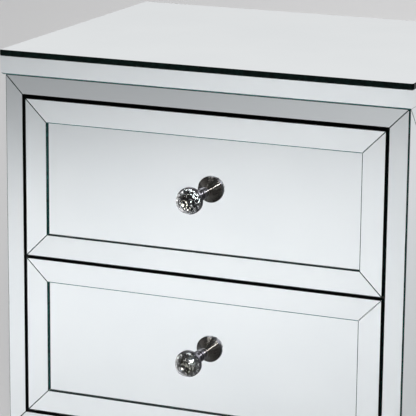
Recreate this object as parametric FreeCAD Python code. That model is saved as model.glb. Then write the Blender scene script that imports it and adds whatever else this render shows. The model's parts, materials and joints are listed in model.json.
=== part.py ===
import FreeCAD, Part
import math
import os

# Mirrored end table with two drawers, in millimetres, +Z up, its front towards -Y.
# The origin is on the floor, under the middle of the box round the whole table, knobs included.

# Drawer fronts and the front frame
front_width = 369.6
front_height = 158.35
reveal = 1.75
top_reveal = 2.4
frame_strip = 19.4
border_strip = 23.5

# Case and top
case_depth = 340.0
leg_height = 190.0
board = 15.0
hardboard = 5.0
slab = 18.1
overhang = 3.2
rabbet = 8.0
back_inset = 3.0

# Glass. A bevel is how much thinner a strip is at one edge than at the other.
glass = 3.0
top_glass = 6.0
top_glass_lip = 1.0
top_glass_arris = 0.8
top_glass_corner = 3.0
arris = 1.0
mitre_arris = 0.35
mitre_gap = 0.3
corner_nip = 1.5
frame_bevel = 0.9
border_bevel = 0.3
band_bevel = 0.6
band_arris = 1.2

# Drawer boxes
box_board = 12.0
box_height = 110.0
box_length = 290.0
box_rise = 22.0
groove_rise = 8.0
groove_depth = 6.0
groove_play = 0.1

# Ball-bearing slides, seen in section from the case side towards the drawer
slide_space = 12.7
slide_length = 280.0
slide_setback = 3.0
slide_metal = 1.2
channel_height = 35.0
channel_reach = 10.0
channel_lip = 1.5
runner_height = 23.2
runner_reach = 9.1
drawer_travel = 220.0
cage_metal = 1.0
cage_start = 2.3
cage_reach = 7.3
cage_margin = 2.0
ball_radius = 2.1
ball_play = 0.4
ball_offset = 6.2
balls_per_row = 4

# Knob, measured outwards from the centre pane
knob_foot_radius = 5.8
knob_foot = 2.0
knob_neck_radius = 3.5
bead_radii = (5.6, 5.2)
bead_length = 4.7
knob_neck = 1.6
knob_cone_height = 11.0
knob_cone_hollow = 0.6
bezel_radius = 12.9
bezel_height = 3.4
bezel_wall = 0.7
bezel_seat = 1.4
cup_waist = 22.1
cup_waist_radius = 9.1
cup_floor = 17.0
cup_floor_radius = 3.5
crystal_radius = 12.3
crystal_above_bezel = 0.6
crystal_facets = 14
crystal_table_angle = 14.0
crystal_crown_bands = 4
crystal_girdle_radius = 11.7
crystal_girdle_drop = 1.7
crystal_waist_radius = 8.4
crystal_culet_radius = 3.2
knob_screw_radius = 2.0
knob_screw_bite = 10.0
knob_screw_hole = 2.5
knob_screw_head_radius = 4.0
knob_screw_head = 2.8

# Legs and fasteners
leg_top = 38.0
leg_foot = 24.0
leg_inset = 12.0
leg_edge = 1.5
glide_height = 4.0
glide_radius = 10.0
glide_edge = 0.5
glide_pin_radius = 3.0
glide_pin_length = 12.0
bolt_radius = 4.0
bolt_in_leg = 35.0
insert_radius = 6.0
insert_length = 12.0
dowel_radius = 4.0
dowel_length = 24.0
screw_radius = 1.75
screw_length = 12.0
screw_head_radius = 3.5
screw_head = 0.6
metal_edge = 0.5

# Places of fasteners, as shares of the run that they sit on
dowel_places = (0.2, 0.8)
channel_screw_places = (0.12, 0.88)
back_screw_places = (0.1, 0.5, 0.9)
bottom_screw_places = (-0.5, 0, 0.5)

# Widths, half of each board or opening measured from the middle plane
case_width = front_width + 2 * reveal + 2 * frame_strip
case_half = case_width / 2
opening_half = case_half - frame_strip
side_outer = case_half - 2 * glass
side_inner = side_outer - board
box_half = side_inner - slide_space

# Heights
drawer_names = ("lower", "upper")
drawer_pitch = front_height + reveal
face_height = 2 * frame_strip + len(drawer_names) * drawer_pitch + top_reveal
case_top = leg_height + face_height
slab_top = case_top + slab
first_front = leg_height + frame_strip + reveal

# Depths, from the face of the border strips back to the back of the case
cone_start = knob_foot + len(bead_radii) * bead_length + knob_neck
bezel_start = cone_start + knob_cone_height
bezel_top = bezel_start + bezel_height
crystal_centre = bezel_top + crystal_above_bezel
knob_reach = crystal_centre + crystal_radius * math.cos(math.radians(crystal_table_angle))
front_y = (knob_reach - glass - case_depth) / 2
back_y = front_y + case_depth
pane_y = front_y + glass
frame_back = front_y + glass + board
front_back = front_y + 2 * glass + board
box_end = front_back + box_length
slide_front = front_back + slide_setback

up = FreeCAD.Vector(0, 0, 1)
backwards = FreeCAD.Vector(0, 1, 0)
rightwards = FreeCAD.Vector(1, 0, 0)
origin = FreeCAD.Vector(0, 0, 0)


def block(x, y, z):
    """A box from a (low, high) pair along each axis."""
    corner = FreeCAD.Vector(x[0], y[0], z[0])
    return Part.makeBox(x[1] - x[0], y[1] - y[0], z[1] - z[0], corner)


def mirrored(shape):
    """The same piece on the other side of the middle plane."""
    return shape.mirror(origin, rightwards)


def pair(shape):
    """The right-hand piece given and its left-hand twin."""
    return Part.makeCompound([mirrored(shape), shape])


def joined(shapes):
    """Touching blocks made into one solid."""
    return shapes[0].multiFuse(shapes[1:]).removeSplitter()


def solid_from_faces(faces):
    """A closed solid from faces given as lists of corner points."""
    made = []
    for corners in faces:
        made.append(Part.Face(Part.makePolygon(corners + corners[:1])))
    return Part.makeSolid(Part.makeShell(made))


def prism_between(first, second):
    """The solid between two outlines with as many corners each."""
    faces = [first[::-1], second]
    for i in range(len(first)):
        j = (i + 1) % len(first)
        faces.append([first[i], first[j], second[j], second[i]])
    return solid_from_faces(faces)


def front_edges(shape):
    """The edges round the face that looks towards -Y, of a piece whose back lies on y = 0."""
    edges = []
    for edge in shape.Edges:
        if all(vertex.Y < -glass / 2 for vertex in edge.Vertexes):
            edges.append(edge)
    return edges


def by_length(edges):
    """The same edges, from the shortest to the longest."""
    return sorted(edges, key=lambda edge: edge.Length)


def ground(strip):
    """A mitred strip with a fine arris along both mitres and a wider one along both long edges."""
    mitres = by_length(front_edges(strip))[-4:-2]
    strip = strip.makeChamfer(mitre_arris, mitres)
    return strip.makeChamfer(arris, by_length(front_edges(strip))[-2:])


def nipped_outline(width, height):
    """A rectangular prism round y = 0 with its four upright corners nipped off."""
    x = width / 2
    z = height / 2
    corners = (
        (x - corner_nip, z), (x, z - corner_nip), (x, corner_nip - z), (x - corner_nip, -z),
        (corner_nip - x, -z), (-x, corner_nip - z), (-x, z - corner_nip), (corner_nip - x, z),
    )
    points = [FreeCAD.Vector(px, -2 * glass, pz) for px, pz in corners]
    outline = Part.Face(Part.makePolygon(points + points[:1]))
    return outline.extrude(backwards * 3 * glass)


def pane(width, height):
    """A flat mirror pane centred on the origin, its back on y = 0."""
    plate = block((-width / 2, width / 2), (-glass, 0), (-height / 2, height / 2))
    plate = plate.common(nipped_outline(width, height))
    return plate.makeChamfer(arris, front_edges(plate))


def mitred_strips(width, height, strip, outer_thickness, inner_thickness):
    """Four mitred strips round a rectangle, as a dict by side, their backs on y = 0."""
    outer = ((-1, 1), (1, 1), (1, -1), (-1, -1))
    trim = mitre_gap / math.sqrt(2)
    outline = nipped_outline(width, height)
    strips = {}
    for i, side in enumerate(("top", "right", "bottom", "left")):
        ends = []
        for sign, corner in ((1, outer[i]), (-1, outer[(i + 1) % 4])):
            along = (outer[(i + 1) % 4][0] - outer[i][0], outer[(i + 1) % 4][1] - outer[i][1])
            shift = [sign * trim * step / 2 for step in along]
            edge = (corner[0] * width / 2, corner[1] * height / 2)
            inside = (edge[0] - corner[0] * strip, edge[1] - corner[1] * strip)
            section = []
            for place, thickness in (
                (edge, 0), (edge, outer_thickness), (inside, inner_thickness), (inside, 0),
            ):
                section.append(FreeCAD.Vector(place[0] + shift[0], -thickness, place[1] + shift[1]))
            ends.append(section)
        strips[side] = ground(prism_between(ends[0], ends[1]).common(outline).Solids[0])
    return strips


def placed(shape, x, y, z, turn=0):
    """A copy turned about the vertical axis and then moved."""
    copy = shape.copy()
    copy.rotate(origin, up, turn)
    copy.translate(FreeCAD.Vector(x, y, z))
    return copy


def screw(point, direction):
    """A wood screw with a thin flat head, its head's underside at the point."""
    shank = Part.makeCylinder(screw_radius, screw_length, point, direction)
    head = Part.makeCylinder(screw_head_radius, screw_head, point, direction * -1)
    return shank.fuse(head)


def dowels():
    """Dowels between sides and top, sides and bottom, and the frame's rails and stiles."""
    made = []
    half = dowel_length / 2
    side_middle = (side_outer + side_inner) / 2
    along = [frame_back + share * (back_y - rabbet - frame_back) for share in dowel_places]
    for y in along:
        start = FreeCAD.Vector(side_middle, y, case_top - half)
        made.append(Part.makeCylinder(dowel_radius, dowel_length, start, up))
        start = FreeCAD.Vector(side_inner - half, y, leg_height + board / 2)
        made.append(Part.makeCylinder(dowel_radius, dowel_length, start, rightwards))
    for z in (leg_height + frame_strip / 2, case_top - frame_strip / 2):
        start = FreeCAD.Vector(opening_half - half, pane_y + board / 2, z)
        made.append(Part.makeCylinder(dowel_radius, dowel_length, start, rightwards))
    return Part.makeCompound(made + [mirrored(dowel) for dowel in made])


def drawer_floor(name):
    """The height of the lower edge of a drawer's front."""
    return first_front + drawer_names.index(name) * drawer_pitch


def slide_height(name):
    """The height of the middle of a drawer's slides."""
    return drawer_floor(name) + box_rise + box_height / 2


def section_block(start, reach, low, high, y, middle):
    """A block of the right-hand slide, measured from the case side towards the drawer."""
    x = (side_inner - start - reach, side_inner - start)
    return block(x, y, (middle + low, middle + high))


def case_channel(middle):
    """The fixed C-shaped channel on the right-hand case side."""
    y = (slide_front, slide_front + slide_length)
    half = channel_height / 2
    inside = half - slide_metal
    blocks = [section_block(0, slide_metal, -half, half, y, middle)]
    lip_start = channel_reach - slide_metal
    for low, high, lip_low in ((inside, half, inside - channel_lip), (-half, -inside, -inside)):
        blocks.append(section_block(0, channel_reach, low, high, y, middle))
        blocks.append(section_block(lip_start, slide_metal, lip_low, lip_low + channel_lip, y, middle))
    return joined(blocks)


def drawer_runner(middle):
    """The moving C-shaped runner on the drawer's right-hand side."""
    y = (slide_front, slide_front + slide_length)
    half = runner_height / 2
    start = slide_space - runner_reach
    blocks = [section_block(slide_space - slide_metal, slide_metal, -half, half, y, middle)]
    for low, high in ((half - slide_metal, half), (-half, slide_metal - half)):
        blocks.append(section_block(start, runner_reach, low, high, y, middle))
    return joined(blocks)


def ball_cage(middle):
    """The right-hand cage and its balls, midway along the slide."""
    length = slide_length - drawer_travel - 2 * cage_margin
    centre = slide_front + slide_length / 2
    y = (centre - length / 2, centre + length / 2)
    row = (runner_height / 2 + channel_height / 2 - slide_metal) / 2
    outside = row + cage_metal / 2
    blocks = [section_block(cage_start, cage_metal, -outside, outside, y, middle)]
    for low in (row - cage_metal / 2, -outside):
        blocks.append(section_block(cage_start, cage_reach, low, low + cage_metal, y, middle))
    cage = joined(blocks)
    balls = []
    step = length / balls_per_row
    for i in range(balls_per_row):
        for height in (row, -row):
            place = FreeCAD.Vector(side_inner - ball_offset, y[0] + (i + 0.5) * step, middle + height)
            start = place - up * cage_metal
            cage = cage.cut(Part.makeCylinder(ball_radius + ball_play, 2 * cage_metal, start, up))
            balls.append(Part.makeSphere(ball_radius, place))
    return [cage] + balls


def channel_screws(middle):
    """The screws that hold the right-hand channel to the case side."""
    made = []
    for share in channel_screw_places:
        y = slide_front + share * slide_length
        made.append(screw(FreeCAD.Vector(side_inner - slide_metal, y, middle), rightwards))
    return made


def back_screws():
    """The screws of the back panel, along both rabbets and along the bottom."""
    made = []
    head_y = back_y - back_inset
    for share in back_screw_places:
        z = leg_height + share * face_height
        made.append(screw(FreeCAD.Vector(side_inner + rabbet / 2, head_y, z), backwards * -1))
    made += [mirrored(one) for one in made]
    for share in bottom_screw_places:
        point = FreeCAD.Vector(share * side_inner, head_y, leg_height + board / 2)
        made.append(screw(point, backwards * -1))
    return made


def case_screws():
    """All the wood screws of the case."""
    made = back_screws()
    for name in drawer_names:
        for one in channel_screws(slide_height(name)):
            made += [one, mirrored(one)]
    return Part.makeCompound(made)


def leg_centres():
    """The middle of the top of each leg, by name."""
    x = case_half - leg_inset - leg_top / 2
    front = front_y + leg_inset + leg_top / 2
    back = back_y - leg_inset - leg_top / 2
    return {
        "leg_front_left": (-x, front), "leg_front_right": (x, front),
        "leg_back_left": (-x, back), "leg_back_right": (x, back),
    }


def foot_centre(centre):
    """The middle of the foot of a leg, whose two outer faces are upright."""
    middle_y = (front_y + back_y) / 2
    out = (leg_top - leg_foot) / 2
    x = centre[0] + math.copysign(out, centre[0])
    y = centre[1] + math.copysign(out, centre[1] - middle_y)
    return x, y


def square(centre, side, z):
    """The corners of a level square."""
    corners = ((-1, -1), (1, -1), (1, 1), (-1, 1))
    return [FreeCAD.Vector(centre[0] + i * side / 2, centre[1] + j * side / 2, z) for i, j in corners]


def leg(centre):
    """A square leg that tapers on its two inner faces, bored for its bolt and its glide."""
    foot = foot_centre(centre)
    solid = prism_between(square(foot, leg_foot, glide_height), square(centre, leg_top, leg_height))
    upright = []
    for edge in solid.Edges:
        if edge.BoundBox.ZLength > leg_height / 2:
            upright.append(edge)
    solid = solid.makeChamfer(leg_edge, upright)
    return solid.cut(bolt(centre)).cut(glide(centre))


def bolt(centre):
    """The hanger bolt between a leg and its insert."""
    start = FreeCAD.Vector(centre[0], centre[1], leg_height - bolt_in_leg)
    return Part.makeCylinder(bolt_radius, bolt_in_leg + insert_length, start, up)


def insert(centre):
    """The threaded insert in the bottom panel."""
    start = FreeCAD.Vector(centre[0], centre[1], leg_height)
    return Part.makeCylinder(insert_radius, insert_length, start, up).cut(bolt(centre))


def glide(centre):
    """The nylon glide under a leg, with the pin that holds it."""
    x, y = foot_centre(centre)
    disc = Part.makeCylinder(glide_radius, glide_height, FreeCAD.Vector(x, y, 0), up)
    rim = [edge for edge in disc.Edges if edge.BoundBox.ZMax < glide_height / 2]
    disc = disc.makeChamfer(glide_edge, rim)
    pin = Part.makeCylinder(glide_pin_radius, glide_pin_length, FreeCAD.Vector(x, y, glide_height), up)
    return disc.fuse(pin).removeSplitter()


def top_band(side):
    """A mirror band on the edge of the top, mitred at the front corners, leaning in downwards to an arris."""
    outer_x = case_half + overhang
    outer_y = front_y - overhang
    inner_x = outer_x - glass
    inner_y = outer_y + glass
    outlines = []
    for z, lean in ((case_top, band_bevel), (slab_top, 0)):
        x = outer_x - lean
        y = outer_y + lean
        if side == "front":
            plan = ((-x, y), (x, y), (inner_x, inner_y), (-inner_x, inner_y))
        else:
            plan = ((x, y), (x, back_y), (inner_x, back_y), (inner_x, inner_y))
        outlines.append([FreeCAD.Vector(px, py, z) for px, py in plan])
    solid = prism_between(outlines[0], outlines[1])
    lower = [edge for edge in solid.Edges if edge.BoundBox.ZMax < case_top + slab / 2]
    outermost = max(lower, key=lambda edge: edge.Length)
    return solid.makeChamfer(band_arris, [outermost])


def top_mirror():
    """The thick mirror glass on the top, with rounded corners and a ground arris."""
    half = case_half + overhang + top_glass_lip
    y = (front_y - overhang - top_glass_lip, back_y)
    plate = block((-half, half), y, (slab_top, slab_top + top_glass))
    corners = [edge for edge in plate.Edges if edge.BoundBox.ZLength > top_glass / 2]
    plate = plate.makeFillet(top_glass_corner, corners)
    level = [edge for edge in plate.Edges if edge.BoundBox.ZLength < top_glass / 2]
    return plate.makeChamfer(top_glass_arris, level)


def case_boards(joints, screws, inserts):
    """The boards of the case and its front frame, bored for their dowels, screws and inserts."""
    y = (frame_back, back_y)
    side = block((side_inner, side_outer), y, (leg_height, case_top))
    step = block((side_inner, side_inner + rabbet), (back_y - rabbet, back_y), (leg_height, case_top))
    side = side.cut(step)
    bottom_y = (frame_back, back_y - rabbet)
    bottom = block((-side_inner, side_inner), bottom_y, (leg_height, leg_height + board))
    half = case_half + overhang - glass
    top = block((-half, half), (front_y - overhang + glass, back_y), (case_top, slab_top))
    back_half = side_inner + rabbet
    back = block((-back_half, back_half), (back_y - rabbet, back_y - back_inset), (leg_height, case_top))
    frame_depth = (pane_y, frame_back)
    rails = []
    for z in (leg_height, case_top - frame_strip):
        rails.append(block((-opening_half, opening_half), frame_depth, (z, z + frame_strip)))
    stile = block((opening_half, side_outer), frame_depth, (leg_height, case_top))
    bored = [joints, screws]
    return {
        "side_panel_left": mirrored(side).cut(bored),
        "side_panel_right": side.cut(bored),
        "bottom_panel": bottom.cut(bored + inserts),
        "top_board": top.cut(joints),
        "back_panel": back.cut(screws),
        "face_rails": Part.makeCompound([rail.cut(joints) for rail in rails]),
        "face_stiles": Part.makeCompound([mirrored(stile).cut(joints), stile.cut(joints)]),
    }


def case_mirrors():
    """The glass on the case: front frame, sides, and the top with its bands."""
    made = {"top_mirror": top_mirror(), "top_edge_mirror_front": top_band("front")}
    made["top_edge_mirror_right"] = top_band("right")
    made["top_edge_mirror_left"] = mirrored(made["top_edge_mirror_right"])
    middle_z = leg_height + face_height / 2
    frame = mitred_strips(case_width, face_height, frame_strip, glass - frame_bevel, glass)
    for side, strip in frame.items():
        made["frame_mirror_" + side] = placed(strip, 0, pane_y, middle_z)
    depth = case_depth - glass
    middle_y = pane_y + depth / 2
    borders = mitred_strips(depth, face_height, border_strip, glass, glass - border_bevel)
    for side, sign in (("left", -1), ("right", 1)):
        turn = sign * 90
        centre = placed(pane(depth, face_height), sign * side_outer, middle_y, middle_z, turn)
        made["side_mirror_" + side] = centre
        out = sign * (side_outer + glass)
        strips = [placed(strip, out, middle_y, middle_z, turn) for strip in borders.values()]
        made["side_strips_" + side] = Part.makeCompound(strips)
    return made


def hollowed(start, end, depth):
    """The three points of an arc that is drawn in towards the axis between two points of a profile."""
    run = (end[0] - start[0], end[1] - start[1])
    length = math.hypot(run[0], run[1])
    middle = (
        (start[0] + end[0]) / 2 - depth * run[1] / length,
        (start[1] + end[1]) / 2 + depth * run[0] / length,
    )
    return start, middle, end


def knob_turned_profile():
    """Half of the section of the knob's metal part, as edges from the axis and back to it."""
    height = knob_foot
    arcs = []
    for radius in bead_radii:
        bead = ((knob_neck_radius, height), (radius, height + bead_length / 2))
        height += bead_length
        arcs.append(bead + ((knob_neck_radius, height),))
    neck_top = (knob_neck_radius, cone_start)
    bezel_edge = (bezel_radius, bezel_start)
    arcs.append(hollowed(neck_top, bezel_edge, knob_cone_hollow))
    inside = bezel_radius - bezel_wall
    foot = [(0, cup_floor), (0, 0), (knob_foot_radius, 0), (knob_foot_radius, knob_foot), arcs[0][0]]
    neck = [arcs[len(bead_radii) - 1][2], neck_top]
    cup = [
        bezel_edge, (bezel_radius, bezel_top), (inside, bezel_top), (inside, bezel_top - bezel_seat),
        (cup_waist_radius, cup_waist), (cup_floor_radius, cup_floor), (0, cup_floor),
    ]
    edges = []
    for outline in (foot, neck, cup):
        for start, end in zip(outline, outline[1:]):
            edges.append(Part.LineSegment(*[FreeCAD.Vector(r, 0, h) for r, h in (start, end)]).toShape())
    for points in arcs:
        edges.append(Part.Arc(*[FreeCAD.Vector(r, 0, h) for r, h in points]).toShape())
    return edges


def knob_base():
    """The turned metal stem, cone and bezel, standing on the origin along +Z, bored for its screw."""
    wire = Part.Wire(Part.__sortEdges__(knob_turned_profile()))
    solid = Part.Face(wire).revolve(origin, up, 360)
    return solid.cut(Part.makeCylinder(knob_screw_radius, knob_screw_bite, origin, up))


def crystal_levels():
    """The radius and height of each ring of the crystal's corners, from its table to its culet."""
    levels = []
    step = (90 - crystal_table_angle) / crystal_crown_bands
    for i in range(crystal_crown_bands + 1):
        polar = math.radians(crystal_table_angle + i * step)
        height = crystal_centre + crystal_radius * math.cos(polar)
        levels.append((crystal_radius * math.sin(polar), height))
    levels.append((crystal_girdle_radius, crystal_centre - crystal_girdle_drop))
    levels.append((crystal_waist_radius, cup_waist))
    levels.append((crystal_culet_radius, cup_floor))
    return levels


def crystal():
    """The cut crystal: staggered rings of corners with flat facets between them."""
    rings = []
    for i, (radius, height) in enumerate(crystal_levels()):
        ring = []
        for j in range(crystal_facets):
            turn = 2 * math.pi * (j + 0.5 * (i % 2)) / crystal_facets
            ring.append(FreeCAD.Vector(radius * math.cos(turn), radius * math.sin(turn), height))
        rings.append(ring)
    faces = [rings[0], rings[-1]]
    for i in range(len(rings) - 1):
        near = rings[i]
        far = rings[i + 1]
        for j in range(crystal_facets):
            k = (j + 1) % crystal_facets
            if i % 2:
                faces += [[near[j], near[k], far[k]], [near[j], far[k], far[j]]]
            else:
                faces += [[near[j], near[k], far[j]], [near[k], far[k], far[j]]]
    return solid_from_faces(faces)


def on_front(shape, z):
    """A knob piece turned to stand out of a drawer's centre pane at a height."""
    copy = shape.copy()
    copy.rotate(origin, rightwards, 90)
    copy.translate(FreeCAD.Vector(0, pane_y, z))
    return copy


def knob_screw(z):
    """The machine screw through the drawer's front into the knob."""
    start = FreeCAD.Vector(0, pane_y - knob_screw_bite, z)
    shank = Part.makeCylinder(knob_screw_radius, front_back - start.y, start, backwards)
    seat = FreeCAD.Vector(0, front_back, z)
    head = Part.makeCylinder(knob_screw_head_radius, knob_screw_head, seat, backwards)
    rim = [edge for edge in head.Edges if edge.BoundBox.YMin > front_back + knob_screw_head / 2]
    return shank.fuse(head.makeChamfer(metal_edge, rim))


def drawer(name):
    """All the pieces of one drawer, by node name."""
    floor = drawer_floor(name)
    middle = floor + front_height / 2
    half = front_width / 2
    low = floor + box_rise
    high = low + box_height
    inner_half = box_half - box_board
    groove_low = low + groove_rise
    groove_high = groove_low + hardboard + 2 * groove_play
    housed_y = front_back - groove_depth
    hole = Part.makeCylinder(knob_screw_hole, case_depth, FreeCAD.Vector(0, front_y, middle), backwards)
    groove_half = inner_half + groove_depth
    groove = block((-groove_half, groove_half), (housed_y, box_end), (groove_low, groove_high))
    side = block((inner_half, box_half), (housed_y, box_end), (low, high))
    front = block((-half, half), (front_y + 2 * glass, front_back), (floor, floor + front_height))
    bottom_half = groove_half - groove_play
    bottom_y = (housed_y + groove_play, box_end)
    bottom_z = (groove_low + groove_play, groove_high - groove_play)
    back_z = (bottom_z[1], high)
    strips = mitred_strips(front_width, front_height, border_strip, glass, glass - border_bevel)
    made = {
        "front_board": front.cut([side, mirrored(side), groove, hole]),
        "front_mirror": placed(pane(front_width, front_height), 0, front_y + 2 * glass, middle).cut(hole),
        "box_left": mirrored(side).cut(groove),
        "box_right": side.cut(groove),
        "box_back": block((-inner_half, inner_half), (box_end - box_board, box_end), back_z),
        "box_bottom": block((-bottom_half, bottom_half), bottom_y, bottom_z),
        "drawer_slides": pair(drawer_runner(slide_height(name))),
        "knob_base": on_front(knob_base(), middle),
        "knob_crystal": on_front(crystal(), middle),
        "knob_screw": knob_screw(middle),
    }
    for where, strip in strips.items():
        made["strip_" + where] = placed(strip, 0, pane_y, middle)
    cages = ball_cage(slide_height(name))
    made["ball_cages"] = Part.makeCompound(cages + [mirrored(one) for one in cages])
    return {name + "_" + piece: shape for piece, shape in made.items()}


def all_nodes():
    """Every node of the table, by name."""
    centres = leg_centres()
    joints = dowels()
    screws = case_screws()
    bolts = [bolt(centre) for centre in centres.values()]
    inserts = [insert(centre) for centre in centres.values()]
    channels = []
    for name in drawer_names:
        channel = case_channel(slide_height(name)).cut(screws)
        channels += [channel, mirrored(channel)]
    nodes = case_boards(joints, screws, inserts + bolts)
    nodes.update(case_mirrors())
    nodes["case_slides"] = Part.makeCompound(channels)
    nodes["case_dowels"] = joints
    nodes["case_screws"] = screws
    nodes["leg_bolts"] = Part.makeCompound(bolts)
    nodes["leg_inserts"] = Part.makeCompound(inserts)
    nodes["foot_glides"] = Part.makeCompound([glide(centre) for centre in centres.values()])
    for name, centre in centres.items():
        nodes[name] = leg(centre)
    for name in drawer_names:
        nodes.update(drawer(name))
    return nodes


os.makedirs("parts", exist_ok=True)
for node, shape in all_nodes().items():
    shape.exportStep("parts/" + node + ".step")
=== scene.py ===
import json
import math

import bmesh
import bpy
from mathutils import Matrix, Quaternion, Vector


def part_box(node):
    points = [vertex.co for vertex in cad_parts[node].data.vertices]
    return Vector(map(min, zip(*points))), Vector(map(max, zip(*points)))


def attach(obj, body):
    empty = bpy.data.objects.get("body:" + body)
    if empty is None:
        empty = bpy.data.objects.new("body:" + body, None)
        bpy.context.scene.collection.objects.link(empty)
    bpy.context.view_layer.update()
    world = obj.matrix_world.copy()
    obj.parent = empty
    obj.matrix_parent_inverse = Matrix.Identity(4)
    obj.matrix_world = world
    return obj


# Mirrored end table with two drawers, in metres, +Z up, its front towards -Y.

# View of the photograph: where the camera looks from, and the point that its axis meets
VIEW_AZIMUTH = 22.743
VIEW_ELEVATION = 13.781
VIEW_ROLL = 0.498
VIEW_DISTANCE = 2.160
VIEW_TARGET = (0.00914, -0.15153, 0.43923)
SENSOR_MM = 36.0
LENS_MM = 197.29

# Floor
FLOOR_HALF = 20.0
FLOOR_COLOUR = (0.80, 0.80, 0.805, 1)
FLOOR_ROUGHNESS = 0.9
FLOOR_SHEEN = 0.0

# Soft boxes over the floor: three before the table, from near to far, and two behind it
NEAR_PLACE = (-0.55, -1.25, 2.2)
NEAR_SIZE = (0.7, 0.7)
NEAR_SPREAD = 82.0
NEAR_WATTS = 7.21
MIDDLE_PLACE = (-0.70, -2.16, 2.2)
MIDDLE_SIZE = (0.5, 0.5)
MIDDLE_SPREAD = 48.0
MIDDLE_WATTS = 0.707
FAR_PLACE = (-0.10, -4.90, 2.6)
FAR_SIZE = (1.2, 1.2)
FAR_WATTS = 38.1
REAR_PLACE = (0.3, 1.9, 2.6)
REAR_SIZE = (1.6, 1.2)
REAR_WATTS = 37.2
BACKDROP_PLACE = (-0.6, 4.6, 3.6)
BACKDROP_SIZE = (5.0, 3.0)
BACKDROP_SPREAD = 110.0
BACKDROP_WATTS = 31.6
WIDE_SPREAD = 180.0

# Lamps that show only as highlights in glass and metal
STRIP_PLACE = (1.80, -0.90, 1.70)
STRIP_TARGET = (0.0, -0.90, 0.45)
STRIP_SIZE = (1.4, 0.18)
STRIP_SPREAD = 90.0
STRIP_WATTS = 27.9
KNOB_PLACE = (0.0, -0.18, 0.45)
LEFT_BOX_PLACE = (-0.87, -1.80, 2.10)
LEFT_BOX_SIZE = (0.9, 0.9)
LEFT_BOX_WATTS = 42.8
RIGHT_BOX_PLACE = (0.90, -1.90, 1.50)
RIGHT_BOX_SIZE = (0.6, 0.6)
RIGHT_BOX_WATTS = 22.3

# Room: its even light, and its grey by the sine of the height that it is seen at
AMBIENT = 0.288
SKY_STOPS = (
    (0.0, 0.228), (0.10, 0.698), (0.20, 0.818), (0.32, 0.781),
    (0.55, 0.614), (0.80, 0.539), (1.0, 0.512),
)

# Drawers, from the top down
DRAWERS = ("upper", "lower")

# Ways that a face can look
FACINGS = {
    "front": (0, -1, 0), "back": (0, 1, 0), "left": (-1, 0, 0), "right": (1, 0, 0),
    "top": (0, 0, 1), "bottom": (0, 0, -1),
}
OPPOSITES = {"left": "right", "right": "left", "top": "bottom", "bottom": "top"}

# Sockets of a mix node, by what it mixes: its first input, its second input and its output
MIX_SOCKETS = {"RGBA": (6, 7, 2), "FLOAT": (2, 3, 0)}

# The whole range of a share, and the parts of a noise's range that several materials use
WHOLE = (0.0, 1.0)
NOISE_MOST = (0.3, 0.7)
NOISE_MIDDLE = (0.35, 0.65)
NOISE_UPPER = (0.35, 0.7)

# Silvered glass: its cloudy silver, its wipe marks, and the cosines that tell its face from its edges
SILVER_DARK = (0.888, 0.931, 0.953, 1)
SILVER_LIGHT = (0.914, 0.955, 0.974, 1)
SILVER_CLOUDS = {"scale": 9.0, "detail": 2.0}
WIPES = {"scale": 26.0, "detail": 4.0, "roughness": 0.6, "stretch": (1.0, 1.0, 2.6), "distortion": 0.6}
WIPES_REACH = (0.42, 0.74)
WIPES_ROUGHNESS = (0.004, 0.022)
FACE_COSINES = (0.80, 0.90)
GLASS_IOR = 1.52

# Ground edges of the glass: their greens, painted light and painted shade by the way they look, their
# paint, and those of thick glass
EDGE_DEEP = (0.003, 0.023, 0.020, 1)
EDGE_GREEN = (0.012, 0.075, 0.068, 1)
# Painted light on edges that look down, and painted shade on those that look up
EDGE_PAINTED_LIGHT = (0.075, 0.200, 0.190, 1)
EDGE_PAINTED_SHADE = (0.003, 0.012, 0.010, 1)
EDGE_PAINT = (0.003, 0.003, 0.003, 1)
EDGE_TINTS = {"scale": 260.0, "detail": 2.0}
EDGE_GRIND = {"scale": 900.0, "detail": 2.0}
EDGE_ROUGHNESS = (0.08, 0.20)
EDGE_SHEEN = 0.04
SIDE_COSINES = (0.5, 0.65)
THICK_DEEP = (0.001, 0.005, 0.004, 1)
THICK_GREEN = (0.003, 0.014, 0.012, 1)
THICK_SHEEN = 0.06

# Crystal of the knobs
CRYSTAL_TINT = (0.97, 0.98, 0.985, 1)
CRYSTAL_SHEEN = (0.2, 0.2, 0.2, 1)
CRYSTAL_IOR = 1.62
CRYSTAL_HAZE = {"scale": 700.0, "detail": 3.0}
CRYSTAL_REACH = (0.45, 0.8)
CRYSTAL_ROUGHNESS = (0.0, 0.012)

# Black chrome of the knobs: its walls, the cone that looks towards the drawer, and the lines of the lathe
WALL_TONES = ((0.050, 0.048, 0.055, 1), (0.065, 0.062, 0.071, 1))
CONE_TONES = ((0.068, 0.060, 0.053, 1), (0.090, 0.080, 0.071, 1))
CONE_COSINES = (0.25, 0.5)
CHROME_CLOUDS = {"scale": 160.0, "detail": 3.0}
CHROME_HAZE = {"scale": 420.0, "detail": 3.0}
CHROME_REACH = (0.4, 0.75)
WALL_ROUGHNESS = (0.30, 0.36)
CONE_ROUGHNESS = (0.15, 0.19)
LATHE_ANISOTROPY = 1.0
LATHE_TURN = 0.25

# Foil behind the crystals: its profile, as radius and distance out of the pane from its rim to its middle
FOIL_PROFILE = ((0.0117, 0.0258), (0.00875, 0.0221), (0.0035, 0.01715))
FOIL_THICKNESS = 0.00008
FOIL_SIDES = 56

# Flakes of the foil: how many to a metre, how far they tilt about their mean, and their tones
FLAKE_SCALE = 338.0
FLAKE_TILT = 1.1
FLAKE_MEAN = (0.5, 0.5, 0.5)
FLAKE_REACH = (0.47, 0.56)
FLAKE_DARK = (0.015, 0.015, 0.013, 1)
FLAKE_WARM = (0.95, 0.87, 0.69, 1)
FLAKE_COOL = (0.76, 0.87, 0.95, 1)
FLAKE_ROUGHNESS = 0.05

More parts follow.
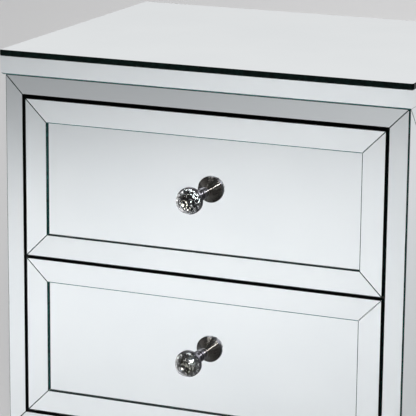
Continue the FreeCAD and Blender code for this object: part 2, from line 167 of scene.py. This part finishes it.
# Black paint of the case and the drawer fronts, its dust, and the depth and strength of its orange peel
PAINT_TONES = ((0.009, 0.009, 0.010, 1), (0.016, 0.016, 0.017, 1))
PAINT_PATCHES = {"scale": 30.0, "detail": 4.0}
PAINT_ROUGHNESS = (0.36, 0.5)
PAINT_PEEL = {"scale": 520.0, "detail": 2.0}
PAINT_RELIEF = (0.00008, 0.5)
DUST_TONE = (0.06, 0.058, 0.055, 1)
DUST_SPECKS = {"scale": 1400.0, "detail": 1.0}
DUST_REACH = (0.70, 0.78)
DUST_SHARES = (0.0, 0.5)

# Hardboard of the back, with the depth and strength of its fibres
HARDBOARD_TONES = ((0.012, 0.012, 0.013, 1), (0.030, 0.029, 0.028, 1))
HARDBOARD_FIBRES = {
    "scale": 240.0, "detail": 5.0, "roughness": 0.7, "stretch": (1.0, 1.0, 0.35), "distortion": 1.2,
}
HARDBOARD_PATCHES = {"scale": 14.0, "detail": 3.0}
HARDBOARD_PATCH_SHARE = 0.5
HARDBOARD_ROUGHNESS = (0.48, 0.68)
HARDBOARD_RELIEF = (0.00015, 0.6)

# Boards of the drawer boxes, with the depth and strength of their grain
BOARD_TONES = ((0.014, 0.0135, 0.013, 1), (0.036, 0.034, 0.032, 1))
BOARD_GRAIN = {
    "scale": 320.0, "detail": 4.0, "roughness": 0.65, "stretch": (1.0, 0.05, 1.0), "distortion": 0.3,
}
BOARD_ROUGHNESS = (0.42, 0.6)
BOARD_RELIEF = (0.00012, 0.5)
PORE_TONE = (0.006, 0.006, 0.006, 1)
PORES = {"scale": 700.0, "detail": 2.0, "stretch": (1.0, 0.03, 1.0)}
PORES_REACH = (0.56, 0.66)

# Beech of the dowels
BEECH_TONES = ((0.52, 0.36, 0.21, 1), (0.66, 0.49, 0.31, 1))
BEECH_GRAIN = {"scale": 500.0, "detail": 3.0, "stretch": (0.2, 0.2, 0.2)}
BEECH_ROUGHNESS = (0.5, 0.7)
FLECK_TONE = (0.36, 0.23, 0.12, 1)
FLECKS = {"scale": 900.0, "detail": 2.0, "stretch": (0.3, 1.0, 1.0)}
FLECKS_REACH = (0.6, 0.72)

# Silver leaf on the legs, with the depth and strength of its brush strokes
LEAF_TONES = ((0.600, 0.592, 0.575, 1), (0.690, 0.686, 0.676, 1))
LEAF_MOTTLE = {"scale": 18.0, "detail": 4.0, "roughness": 0.6, "distortion": 0.4}
LEAF_REACH = (0.36, 0.64)
LEAF_METAL = 0.85
LEAF_ROUGHNESS = (0.26, 0.40)
LEAF_RELIEF = (0.00004, 0.6)
STROKE_TONE = (0.50, 0.492, 0.475, 1)
STROKES = {"scale": 520.0, "detail": 3.0, "stretch": (1.0, 1.0, 0.05)}
STROKE_SHARES = (0.0, 0.35)

# Seams and rubbed spots of the leaf: the height of a sheet, its seam's width and how far that wanders
SHEET_HEIGHT = 0.080
SEAM_WIDTH = 0.0012
SEAM_WANDER = 0.004
SEAM_TONE = (0.36, 0.345, 0.32, 1)
SEAM_RAGS = {"scale": 60.0, "detail": 4.0, "roughness": 0.7}
SEAM_REACH = (0.25, 0.75)
SEAM_SHARES = (0.7, 0.0)
RUB_TONE = (0.26, 0.22, 0.18, 1)
RUBS = {"scale": 150.0, "detail": 4.0, "roughness": 0.7}
RUBS_REACH = (0.66, 0.74)
RUB_SHARES = (0.0, 0.55)

# Zinc plated steel, with the depth and strength of its drawn lines
ZINC_TONES = ((0.50, 0.51, 0.53, 1), (0.62, 0.63, 0.64, 1))
ZINC_SPANGLE = {"scale": 150.0, "detail": 3.0}
ZINC_LINES = {"scale": 900.0, "detail": 2.0, "stretch": (1.0, 0.03, 1.0)}
ZINC_ROUGHNESS = (0.22, 0.38)
ZINC_RELIEF = (0.00003, 0.5)

# Nylon of the glides, with the depth and strength of its grain
NYLON_TONES = ((0.020, 0.020, 0.021, 1), (0.055, 0.053, 0.05, 1))
NYLON_SCUFFS = {"scale": 90.0, "detail": 4.0}
NYLON_REACH = (0.55, 0.75)
NYLON_GRAIN = {"scale": 1500.0, "detail": 2.0}
NYLON_ROUGHNESS = (0.42, 0.58)
NYLON_RELIEF = (0.00005, 0.6)

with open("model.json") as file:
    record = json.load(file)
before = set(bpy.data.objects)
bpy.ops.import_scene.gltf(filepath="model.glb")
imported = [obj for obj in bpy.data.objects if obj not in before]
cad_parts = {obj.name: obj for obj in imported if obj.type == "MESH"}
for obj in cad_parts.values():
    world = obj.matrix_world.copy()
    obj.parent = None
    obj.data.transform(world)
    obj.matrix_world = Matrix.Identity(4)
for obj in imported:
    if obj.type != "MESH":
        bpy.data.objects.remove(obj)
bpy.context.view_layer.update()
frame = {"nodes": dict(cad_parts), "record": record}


# Node helpers

def new_material(name):
    """A material with its node tree and its Principled shader."""
    made = bpy.data.materials.new(name)
    made.use_nodes = True
    tree = made.node_tree
    return made, tree, tree.nodes["Principled BSDF"]


def feed(tree, socket, value):
    """Sets an input, or links it where the value is another node's output."""
    if isinstance(value, bpy.types.NodeSocket):
        tree.links.new(value, socket)
    else:
        socket.default_value = value


def add(tree, kind, inputs=None, **settings):
    """A new node with its settings and inputs."""
    node = tree.nodes.new(kind)
    for key, value in settings.items():
        setattr(node, key, value)
    for key, value in (inputs or {}).items():
        feed(tree, node.inputs[key], value)
    return node


def dress(tree, shader, **inputs):
    """Sets or links inputs of the Principled shader, written with _ for the spaces in their names."""
    for key, value in inputs.items():
        feed(tree, shader.inputs[key.replace("_", " ")], value)


def maths(tree, operation, first, second):
    """The result of an operation on two numbers."""
    return add(tree, "ShaderNodeMath", {0: first, 1: second}, operation=operation).outputs["Value"]


def vector_maths(tree, operation, inputs):
    """The vector that an operation on vectors gives."""
    return add(tree, "ShaderNodeVectorMath", inputs, operation=operation).outputs["Vector"]


def place(tree, stretch=(1, 1, 1)):
    """Coordinates in metres that stay with the piece, stretched along each axis."""
    coordinates = add(tree, "ShaderNodeTexCoord").outputs["Object"]
    return add(tree, "ShaderNodeMapping", {"Vector": coordinates, "Scale": stretch}).outputs["Vector"]


def height_of(tree, vector):
    """The upward part of a vector."""
    return add(tree, "ShaderNodeSeparateXYZ", {"Vector": vector}).outputs["Z"]


def noise(tree, scale, detail, roughness=0.55, stretch=(1, 1, 1), distortion=0.0):
    """Soft noise between about 0.25 and 0.75, with that many features to a metre."""
    inputs = {
        "Vector": place(tree, stretch), "Scale": scale, "Detail": detail,
        "Roughness": roughness, "Distortion": distortion,
    }
    return add(tree, "ShaderNodeTexNoise", inputs).outputs["Fac"]


def span(tree, value, reach, ends=WHOLE):
    """A value carried from one range to another and held at its ends."""
    low, high = reach
    start, end = ends
    inputs = {"Value": value, "From Min": low, "From Max": high, "To Min": start, "To Max": end}
    return add(tree, "ShaderNodeMapRange", inputs).outputs["Result"]


def blend(tree, kind, share, first, second):
    """Two inputs of one kind mixed by a share."""
    first_socket, second_socket, result = MIX_SOCKETS[kind]
    inputs = {"Factor": share, first_socket: first, second_socket: second}
    return add(tree, "ShaderNodeMix", inputs, data_type=kind).outputs[result]


def blend_colours(tree, share, first, second):
    """Two colours mixed by a share."""
    return blend(tree, "RGBA", share, first, second)


def blend_values(tree, share, first, second):
    """Two numbers mixed by a share."""
    return blend(tree, "FLOAT", share, first, second)


def bumps(tree, height, distance, strength):
    """A normal bent by a height that stands that far out at its most."""
    inputs = {"Height": height, "Distance": distance, "Strength": strength}
    return add(tree, "ShaderNodeBump", inputs).outputs["Normal"]


def facing_share(tree, facing, cosines):
    """How far a face looks one way, as a share between two cosines."""
    normal = add(tree, "ShaderNodeNewGeometry").outputs["True Normal"]
    inputs = {0: normal, 1: FACINGS[facing]}
    cosine = add(tree, "ShaderNodeVectorMath", inputs, operation="DOT_PRODUCT").outputs["Value"]
    return span(tree, cosine, cosines)


# Materials

def mirror_glass(facing, painted=None, thick=False):
    """Silvered float glass: a clean mirror with faint wipe marks and ground green edges.

    Edges that look down are painted lighter, a painted light from the floor, and those that look up are
    painted darker, a painted shade. One edge may be painted black. Thick glass has deep edges all round.
    """
    made, tree, shader = new_material("_".join(("mirror_glass", facing, painted or "clear")))
    face = facing_share(tree, facing, FACE_COSINES)
    cloud = span(tree, noise(tree, **SILVER_CLOUDS), NOISE_MIDDLE)
    silver = blend_colours(tree, cloud, SILVER_DARK, SILVER_LIGHT)
    depth = span(tree, noise(tree, **EDGE_TINTS), NOISE_UPPER)
    if thick:
        edge = blend_colours(tree, depth, THICK_DEEP, THICK_GREEN)
        painted_light_shade_and_paint = {}
    else:
        edge = blend_colours(tree, depth, EDGE_DEEP, EDGE_GREEN)
        # Painted light on the edges that look down and painted shade on those that look up; a painted edge
        # is black paint
        painted_light_shade_and_paint = {"top": EDGE_PAINTED_SHADE, "bottom": EDGE_PAINTED_LIGHT}
    if painted:
        painted_light_shade_and_paint[painted] = EDGE_PAINT
    for side, tone in painted_light_shade_and_paint.items():
        edge = blend_colours(tree, facing_share(tree, side, SIDE_COSINES), edge, tone)
    smear = span(tree, noise(tree, **WIPES), WIPES_REACH, WIPES_ROUGHNESS)
    grind = span(tree, noise(tree, **EDGE_GRIND), NOISE_MOST, EDGE_ROUGHNESS)
    dress(
        tree, shader,
        Base_Color=blend_colours(tree, face, edge, silver),
        Metallic=face,
        Roughness=blend_values(tree, face, grind, smear),
        Specular_IOR_Level=THICK_SHEEN if thick else EDGE_SHEEN,
        IOR=GLASS_IOR,
    )
    return made


def crystal_glass():
    """Clear cut crystal with a trace of polishing haze."""
    made, tree, shader = new_material("cut_crystal")
    dress(
        tree, shader,
        Base_Color=CRYSTAL_TINT,
        Roughness=span(tree, noise(tree, **CRYSTAL_HAZE), CRYSTAL_REACH, CRYSTAL_ROUGHNESS),
        IOR=CRYSTAL_IOR,
        Transmission_Weight=1.0,
        Specular_Tint=CRYSTAL_SHEEN,
    )
    return made


def black_chrome():
    """Turned black chrome: satin walls, and a polished cone with a brown cast."""
    made, tree, shader = new_material("black_chrome")
    cloud = span(tree, noise(tree, **CHROME_CLOUDS), NOISE_UPPER)
    wall_tone = blend_colours(tree, cloud, *WALL_TONES)
    cone_tone = blend_colours(tree, cloud, *CONE_TONES)
    cone = facing_share(tree, "back", CONE_COSINES)
    haze = noise(tree, **CHROME_HAZE)
    satin = span(tree, haze, CHROME_REACH, WALL_ROUGHNESS)
    polish = span(tree, haze, CHROME_REACH, CONE_ROUGHNESS)
    tangent = add(tree, "ShaderNodeTangent", direction_type="RADIAL", axis="Y").outputs["Tangent"]
    dress(
        tree, shader,
        Base_Color=blend_colours(tree, cone, wall_tone, cone_tone),
        Metallic=1.0,
        Roughness=blend_values(tree, cone, satin, polish),
        Anisotropic=LATHE_ANISOTROPY,
        Anisotropic_Rotation=LATHE_TURN,
        Tangent=tangent,
    )
    return made


def flaked_foil():
    """Foil pressed into small flat flakes, each with its own tilt and its own dark, warm or cool tone."""
    made, tree, shader = new_material("flaked_foil")
    flakes = add(tree, "ShaderNodeTexVoronoi", {"Vector": place(tree), "Scale": FLAKE_SCALE})
    flake = flakes.outputs["Color"]
    swing = vector_maths(tree, "SUBTRACT", {0: flake, 1: FLAKE_MEAN})
    tilt = vector_maths(tree, "SCALE", {0: swing, "Scale": FLAKE_TILT})
    normal = add(tree, "ShaderNodeNewGeometry").outputs["Normal"]
    bent = vector_maths(tree, "ADD", {0: normal, 1: tilt})
    shares = add(tree, "ShaderNodeSeparateColor", {"Color": flake}).outputs
    tone = blend_colours(tree, shares["Blue"], FLAKE_WARM, FLAKE_COOL)
    shade = span(tree, shares["Green"], FLAKE_REACH)
    dress(
        tree, shader,
        Base_Color=blend_colours(tree, shade, FLAKE_DARK, tone),
        Metallic=1.0,
        Roughness=FLAKE_ROUGHNESS,
        Normal=vector_maths(tree, "NORMALIZE", {0: bent}),
    )
    return made


def black_paint():
    """Satin black paint over fibreboard, with a fine orange peel and dust."""
    made, tree, shader = new_material("black_paint")
    patch = span(tree, noise(tree, **PAINT_PATCHES), NOISE_MOST)
    colour = blend_colours(tree, patch, *PAINT_TONES)
    specks = span(tree, noise(tree, **DUST_SPECKS), DUST_REACH, DUST_SHARES)
    dress(
        tree, shader,
        Base_Color=blend_colours(tree, specks, colour, DUST_TONE),
        Roughness=span(tree, patch, WHOLE, PAINT_ROUGHNESS),
        Normal=bumps(tree, noise(tree, **PAINT_PEEL), *PAINT_RELIEF),
    )
    return made


def hardboard():
    """Black faced hardboard with pressed fibres."""
    made, tree, shader = new_material("black_hardboard")
    fibres = noise(tree, **HARDBOARD_FIBRES)
    patch = noise(tree, **HARDBOARD_PATCHES)
    shade = span(tree, blend_values(tree, HARDBOARD_PATCH_SHARE, fibres, patch), NOISE_MIDDLE)
    dress(
        tree, shader,
        Base_Color=blend_colours(tree, shade, *HARDBOARD_TONES),
        Roughness=span(tree, fibres, NOISE_MOST, HARDBOARD_ROUGHNESS),
        Normal=bumps(tree, fibres, *HARDBOARD_RELIEF),
    )
    return made


def drawer_board():
    """Drawer boards faced in black, with a fine straight grain along them."""
    made, tree, shader = new_material("drawer_board")
    grain = noise(tree, **BOARD_GRAIN)
    pores = span(tree, noise(tree, **PORES), PORES_REACH)
    colour = blend_colours(tree, span(tree, grain, NOISE_MOST), *BOARD_TONES)
    dress(
        tree, shader,
        Base_Color=blend_colours(tree, pores, colour, PORE_TONE),
        Roughness=span(tree, grain, NOISE_MOST, BOARD_ROUGHNESS),
        Normal=bumps(tree, grain, *BOARD_RELIEF),
    )
    return made


def raw_beech():
    """Bare beech with short darker flecks."""
    made, tree, shader = new_material("raw_beech")
    grain = noise(tree, **BEECH_GRAIN)
    flecks = span(tree, noise(tree, **FLECKS), FLECKS_REACH)
    colour = blend_colours(tree, grain, *BEECH_TONES)
    dress(
        tree, shader,
        Base_Color=blend_colours(tree, flecks, colour, FLECK_TONE),
        Roughness=span(tree, grain, NOISE_MOST, BEECH_ROUGHNESS),
    )
    return made


def silver_leaf():
    """Silver leaf on wood: sheets that overlap in ragged seams, brushed lacquer and a few rubbed spots."""
    made, tree, shader = new_material("silver_leaf")
    mottle = span(tree, noise(tree, **LEAF_MOTTLE), LEAF_REACH)
    leaf = blend_colours(tree, mottle, *LEAF_TONES)
    strokes = noise(tree, **STROKES)
    stroked = span(tree, strokes, NOISE_MOST, STROKE_SHARES)
    brushed = blend_colours(tree, stroked, leaf, STROKE_TONE)
    ragged = span(tree, noise(tree, **SEAM_RAGS), SEAM_REACH, (-SEAM_WANDER, SEAM_WANDER))
    level = maths(tree, "ADD", height_of(tree, place(tree)), ragged)
    above_seam = maths(tree, "FLOORED_MODULO", level, SHEET_HEIGHT)
    seam = span(tree, above_seam, (0.0, SEAM_WIDTH), SEAM_SHARES)
    seamed = blend_colours(tree, seam, brushed, SEAM_TONE)
    rubbed = span(tree, noise(tree, **RUBS), RUBS_REACH, RUB_SHARES)
    dress(
        tree, shader,
        Base_Color=blend_colours(tree, rubbed, seamed, RUB_TONE),
        Metallic=LEAF_METAL,
        Roughness=span(tree, strokes, NOISE_MOST, LEAF_ROUGHNESS),
        Normal=bumps(tree, strokes, *LEAF_RELIEF),
    )
    return made


def zinc_steel():
    """Zinc plated steel with drawn lines along the slides and a faint spangle."""
    made, tree, shader = new_material("zinc_steel")
    lines = noise(tree, **ZINC_LINES)
    spangle = span(tree, noise(tree, **ZINC_SPANGLE), NOISE_MIDDLE)
    dress(
        tree, shader,
        Base_Color=blend_colours(tree, spangle, *ZINC_TONES),
        Metallic=1.0,
        Roughness=span(tree, lines, NOISE_MOST, ZINC_ROUGHNESS),
        Normal=bumps(tree, lines, *ZINC_RELIEF),
    )
    return made


def nylon():
    """Moulded black nylon with a fine grain."""
    made, tree, shader = new_material("black_nylon")
    grain = noise(tree, **NYLON_GRAIN)
    scuffs = span(tree, noise(tree, **NYLON_SCUFFS), NYLON_REACH)
    dress(
        tree, shader,
        Base_Color=blend_colours(tree, scuffs, *NYLON_TONES),
        Roughness=span(tree, grain, NOISE_MOST, NYLON_ROUGHNESS),
        Normal=bumps(tree, grain, *NYLON_RELIEF),
    )
    return made


def finish_nodes():
    """Gives every node the material of its slot, and mirror glass the one for the way it looks.

    The edges that face a drawer gap are painted: the outer ones of a drawer's strips, and the inner ones of
    the frame.
    """
    finishes = {
        "black_board": black_paint(), "hardboard": hardboard(), "drawer_board": drawer_board(),
        "raw_wood": raw_beech(), "leg_finish": silver_leaf(), "chrome": black_chrome(),
        "crystal": crystal_glass(), "zinc_steel": zinc_steel(), "nylon": nylon(),
    }
    front = mirror_glass("front")
    looks = {"top_mirror": mirror_glass("top", thick=True)}
    for side in ("left", "right"):
        look = mirror_glass(side)
        for name in ("side_mirror_", "side_strips_", "top_edge_mirror_"):
            looks[name + side] = look
    for side, opposite in OPPOSITES.items():
        look = mirror_glass("front", side)
        looks["frame_mirror_" + opposite] = look
        for drawer in DRAWERS:
            looks[f"{drawer}_strip_{side}"] = look
    for part in frame["record"]["subparts"]:
        name = part["node"]
        slot = part["material_slot"]
        look = looks.get(name, front) if slot == "mirror_glass" else finishes[slot]
        frame["nodes"][name].material_slots[0].material = look


# Foil behind the crystals

def knob_foil(drawer, look):
    """The foil that lines the cup of a drawer's knob, a thin shell between the cup and the crystal."""
    low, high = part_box(drawer + "_knob_base")
    middle = (low[2] + high[2]) / 2
    back = [(radius, out - FOIL_THICKNESS) for radius, out in reversed(FOIL_PROFILE)]
    outline = [*FOIL_PROFILE, *back]
    shell = bmesh.new()
    rings = []
    for radius, out in outline:
        ring = []
        for i in range(FOIL_SIDES):
            turn = 2 * math.pi * i / FOIL_SIDES
            spot = (radius * math.cos(turn), high[1] - out, middle + radius * math.sin(turn))
            ring.append(shell.verts.new(spot))
        rings.append(ring)
    for ring, following in zip(rings, rings[1:] + rings[:1]):
        for i in range(FOIL_SIDES):
            j = (i + 1) % FOIL_SIDES
            shell.faces.new((ring[i], ring[j], following[j], following[i]))
    mesh = bpy.data.meshes.new(drawer + "_knob_foil")
    shell.to_mesh(mesh)
    shell.free()
    mesh.materials.append(look)
    piece = bpy.data.objects.new(drawer + "_knob_foil", mesh)
    bpy.context.scene.collection.objects.link(piece)
    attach(piece, drawer + "_drawer")


def knob_foils():
    """Both knobs' foils."""
    look = flaked_foil()
    for drawer in DRAWERS:
        knob_foil(drawer, look)


# Floor, light and camera

def floor():
    """A wide plain pale floor."""
    half = FLOOR_HALF
    corners = [(-half, -half, 0), (half, -half, 0), (half, half, 0), (-half, half, 0)]
    mesh = bpy.data.meshes.new("floor")
    mesh.from_pydata(corners, [], [range(len(corners))])
    piece = bpy.data.objects.new("floor", mesh)
    bpy.context.scene.collection.objects.link(piece)
    made, tree, shader = new_material("pale_floor")
    dress(
        tree, shader,
        Base_Color=FLOOR_COLOUR, Roughness=FLOOR_ROUGHNESS, Specular_IOR_Level=FLOOR_SHEEN,
    )
    mesh.materials.append(made)


def area_light(name, spot, target, size, watts, spread=WIDE_SPREAD, mirrored=False, lighting=True):
    """A rectangular lamp out of view that looks at a target, and is mirrored, lights, or does both."""
    lamp = bpy.data.lights.new(name, "AREA")
    lamp.shape = "RECTANGLE"
    lamp.size, lamp.size_y = size
    lamp.energy = watts
    lamp.spread = math.radians(spread)
    piece = bpy.data.objects.new(name, lamp)
    piece.location = spot
    piece.rotation_euler = (Vector(target) - Vector(spot)).to_track_quat("-Z", "Y").to_euler()
    piece.visible_camera = False
    piece.visible_glossy = mirrored
    piece.visible_diffuse = lighting
    bpy.context.scene.collection.objects.link(piece)


def floor_light(name, spot, size, watts, spread=WIDE_SPREAD, mirrored=False):
    """A lamp that looks straight down at the floor."""
    below = (spot[0], spot[1], 0)
    area_light(name, spot, below, size, watts, spread, mirrored)


def lamps():
    """Soft boxes over the floor before and behind the table."""
    floor_light("near_box", NEAR_PLACE, NEAR_SIZE, NEAR_WATTS, NEAR_SPREAD, mirrored=True)
    floor_light("middle_box", MIDDLE_PLACE, MIDDLE_SIZE, MIDDLE_WATTS, MIDDLE_SPREAD)
    floor_light("far_box", FAR_PLACE, FAR_SIZE, FAR_WATTS)
    floor_light("rear_box", REAR_PLACE, REAR_SIZE, REAR_WATTS)
    floor_light("backdrop_box", BACKDROP_PLACE, BACKDROP_SIZE, BACKDROP_WATTS, BACKDROP_SPREAD)


def highlights():
    """A long strip light to the right and two boxes in front that give the knobs their sparkle."""
    shown = {"mirrored": True, "lighting": False}
    area_light("strip_light", STRIP_PLACE, STRIP_TARGET, STRIP_SIZE, STRIP_WATTS, STRIP_SPREAD, **shown)
    area_light("left_box", LEFT_BOX_PLACE, KNOB_PLACE, LEFT_BOX_SIZE, LEFT_BOX_WATTS, **shown)
    area_light("right_box", RIGHT_BOX_PLACE, KNOB_PLACE, RIGHT_BOX_SIZE, RIGHT_BOX_WATTS, **shown)


def studio():
    """An even room light, and a pale room to be seen and mirrored, as grey at its foot as the far floor."""
    world = bpy.data.worlds.new("studio")
    bpy.context.scene.world = world
    world.use_nodes = True
    tree = world.node_tree
    direction = add(tree, "ShaderNodeTexCoord").outputs["Generated"]
    ramp = add(tree, "ShaderNodeValToRGB", {"Fac": height_of(tree, direction)})
    stops = ramp.color_ramp.elements
    last_place = SKY_STOPS[-1][0]
    while len(stops) < len(SKY_STOPS):
        stops.new(last_place)
    for stop, (where, grey) in zip(stops, SKY_STOPS):
        stop.position = where
        stop.color = (grey, grey, grey, 1)
    path = add(tree, "ShaderNodeLightPath").outputs
    seen = path["Is Camera Ray"]
    for kind in ("Is Glossy Ray", "Is Transmission Ray"):
        seen = maths(tree, "MAXIMUM", seen, path[kind])
    room = (AMBIENT, AMBIENT, AMBIENT, 1)
    level = blend_colours(tree, seen, room, ramp.outputs["Color"])
    feed(tree, tree.nodes["Background"].inputs["Color"], level)


def camera():
    """The photograph's view."""
    azimuth = math.radians(VIEW_AZIMUTH)
    elevation = math.radians(VIEW_ELEVATION)
    forward = Vector((
        -math.sin(azimuth) * math.cos(elevation),
        math.cos(azimuth) * math.cos(elevation),
        -math.sin(elevation),
    ))
    data = bpy.data.cameras.new("camera")
    data.sensor_width = SENSOR_MM
    data.lens = LENS_MM
    piece = bpy.data.objects.new("camera", data)
    piece.location = Vector(VIEW_TARGET) - forward * VIEW_DISTANCE
    turn = forward.to_track_quat("-Z", "Y") @ Quaternion((0, 0, 1), math.radians(VIEW_ROLL))
    piece.rotation_euler = turn.to_euler()
    bpy.context.scene.collection.objects.link(piece)
    bpy.context.scene.camera = piece


finish_nodes()
knob_foils()
floor()
lamps()
highlights()
studio()
camera()
bpy.context.scene.view_settings.view_transform = "Standard"
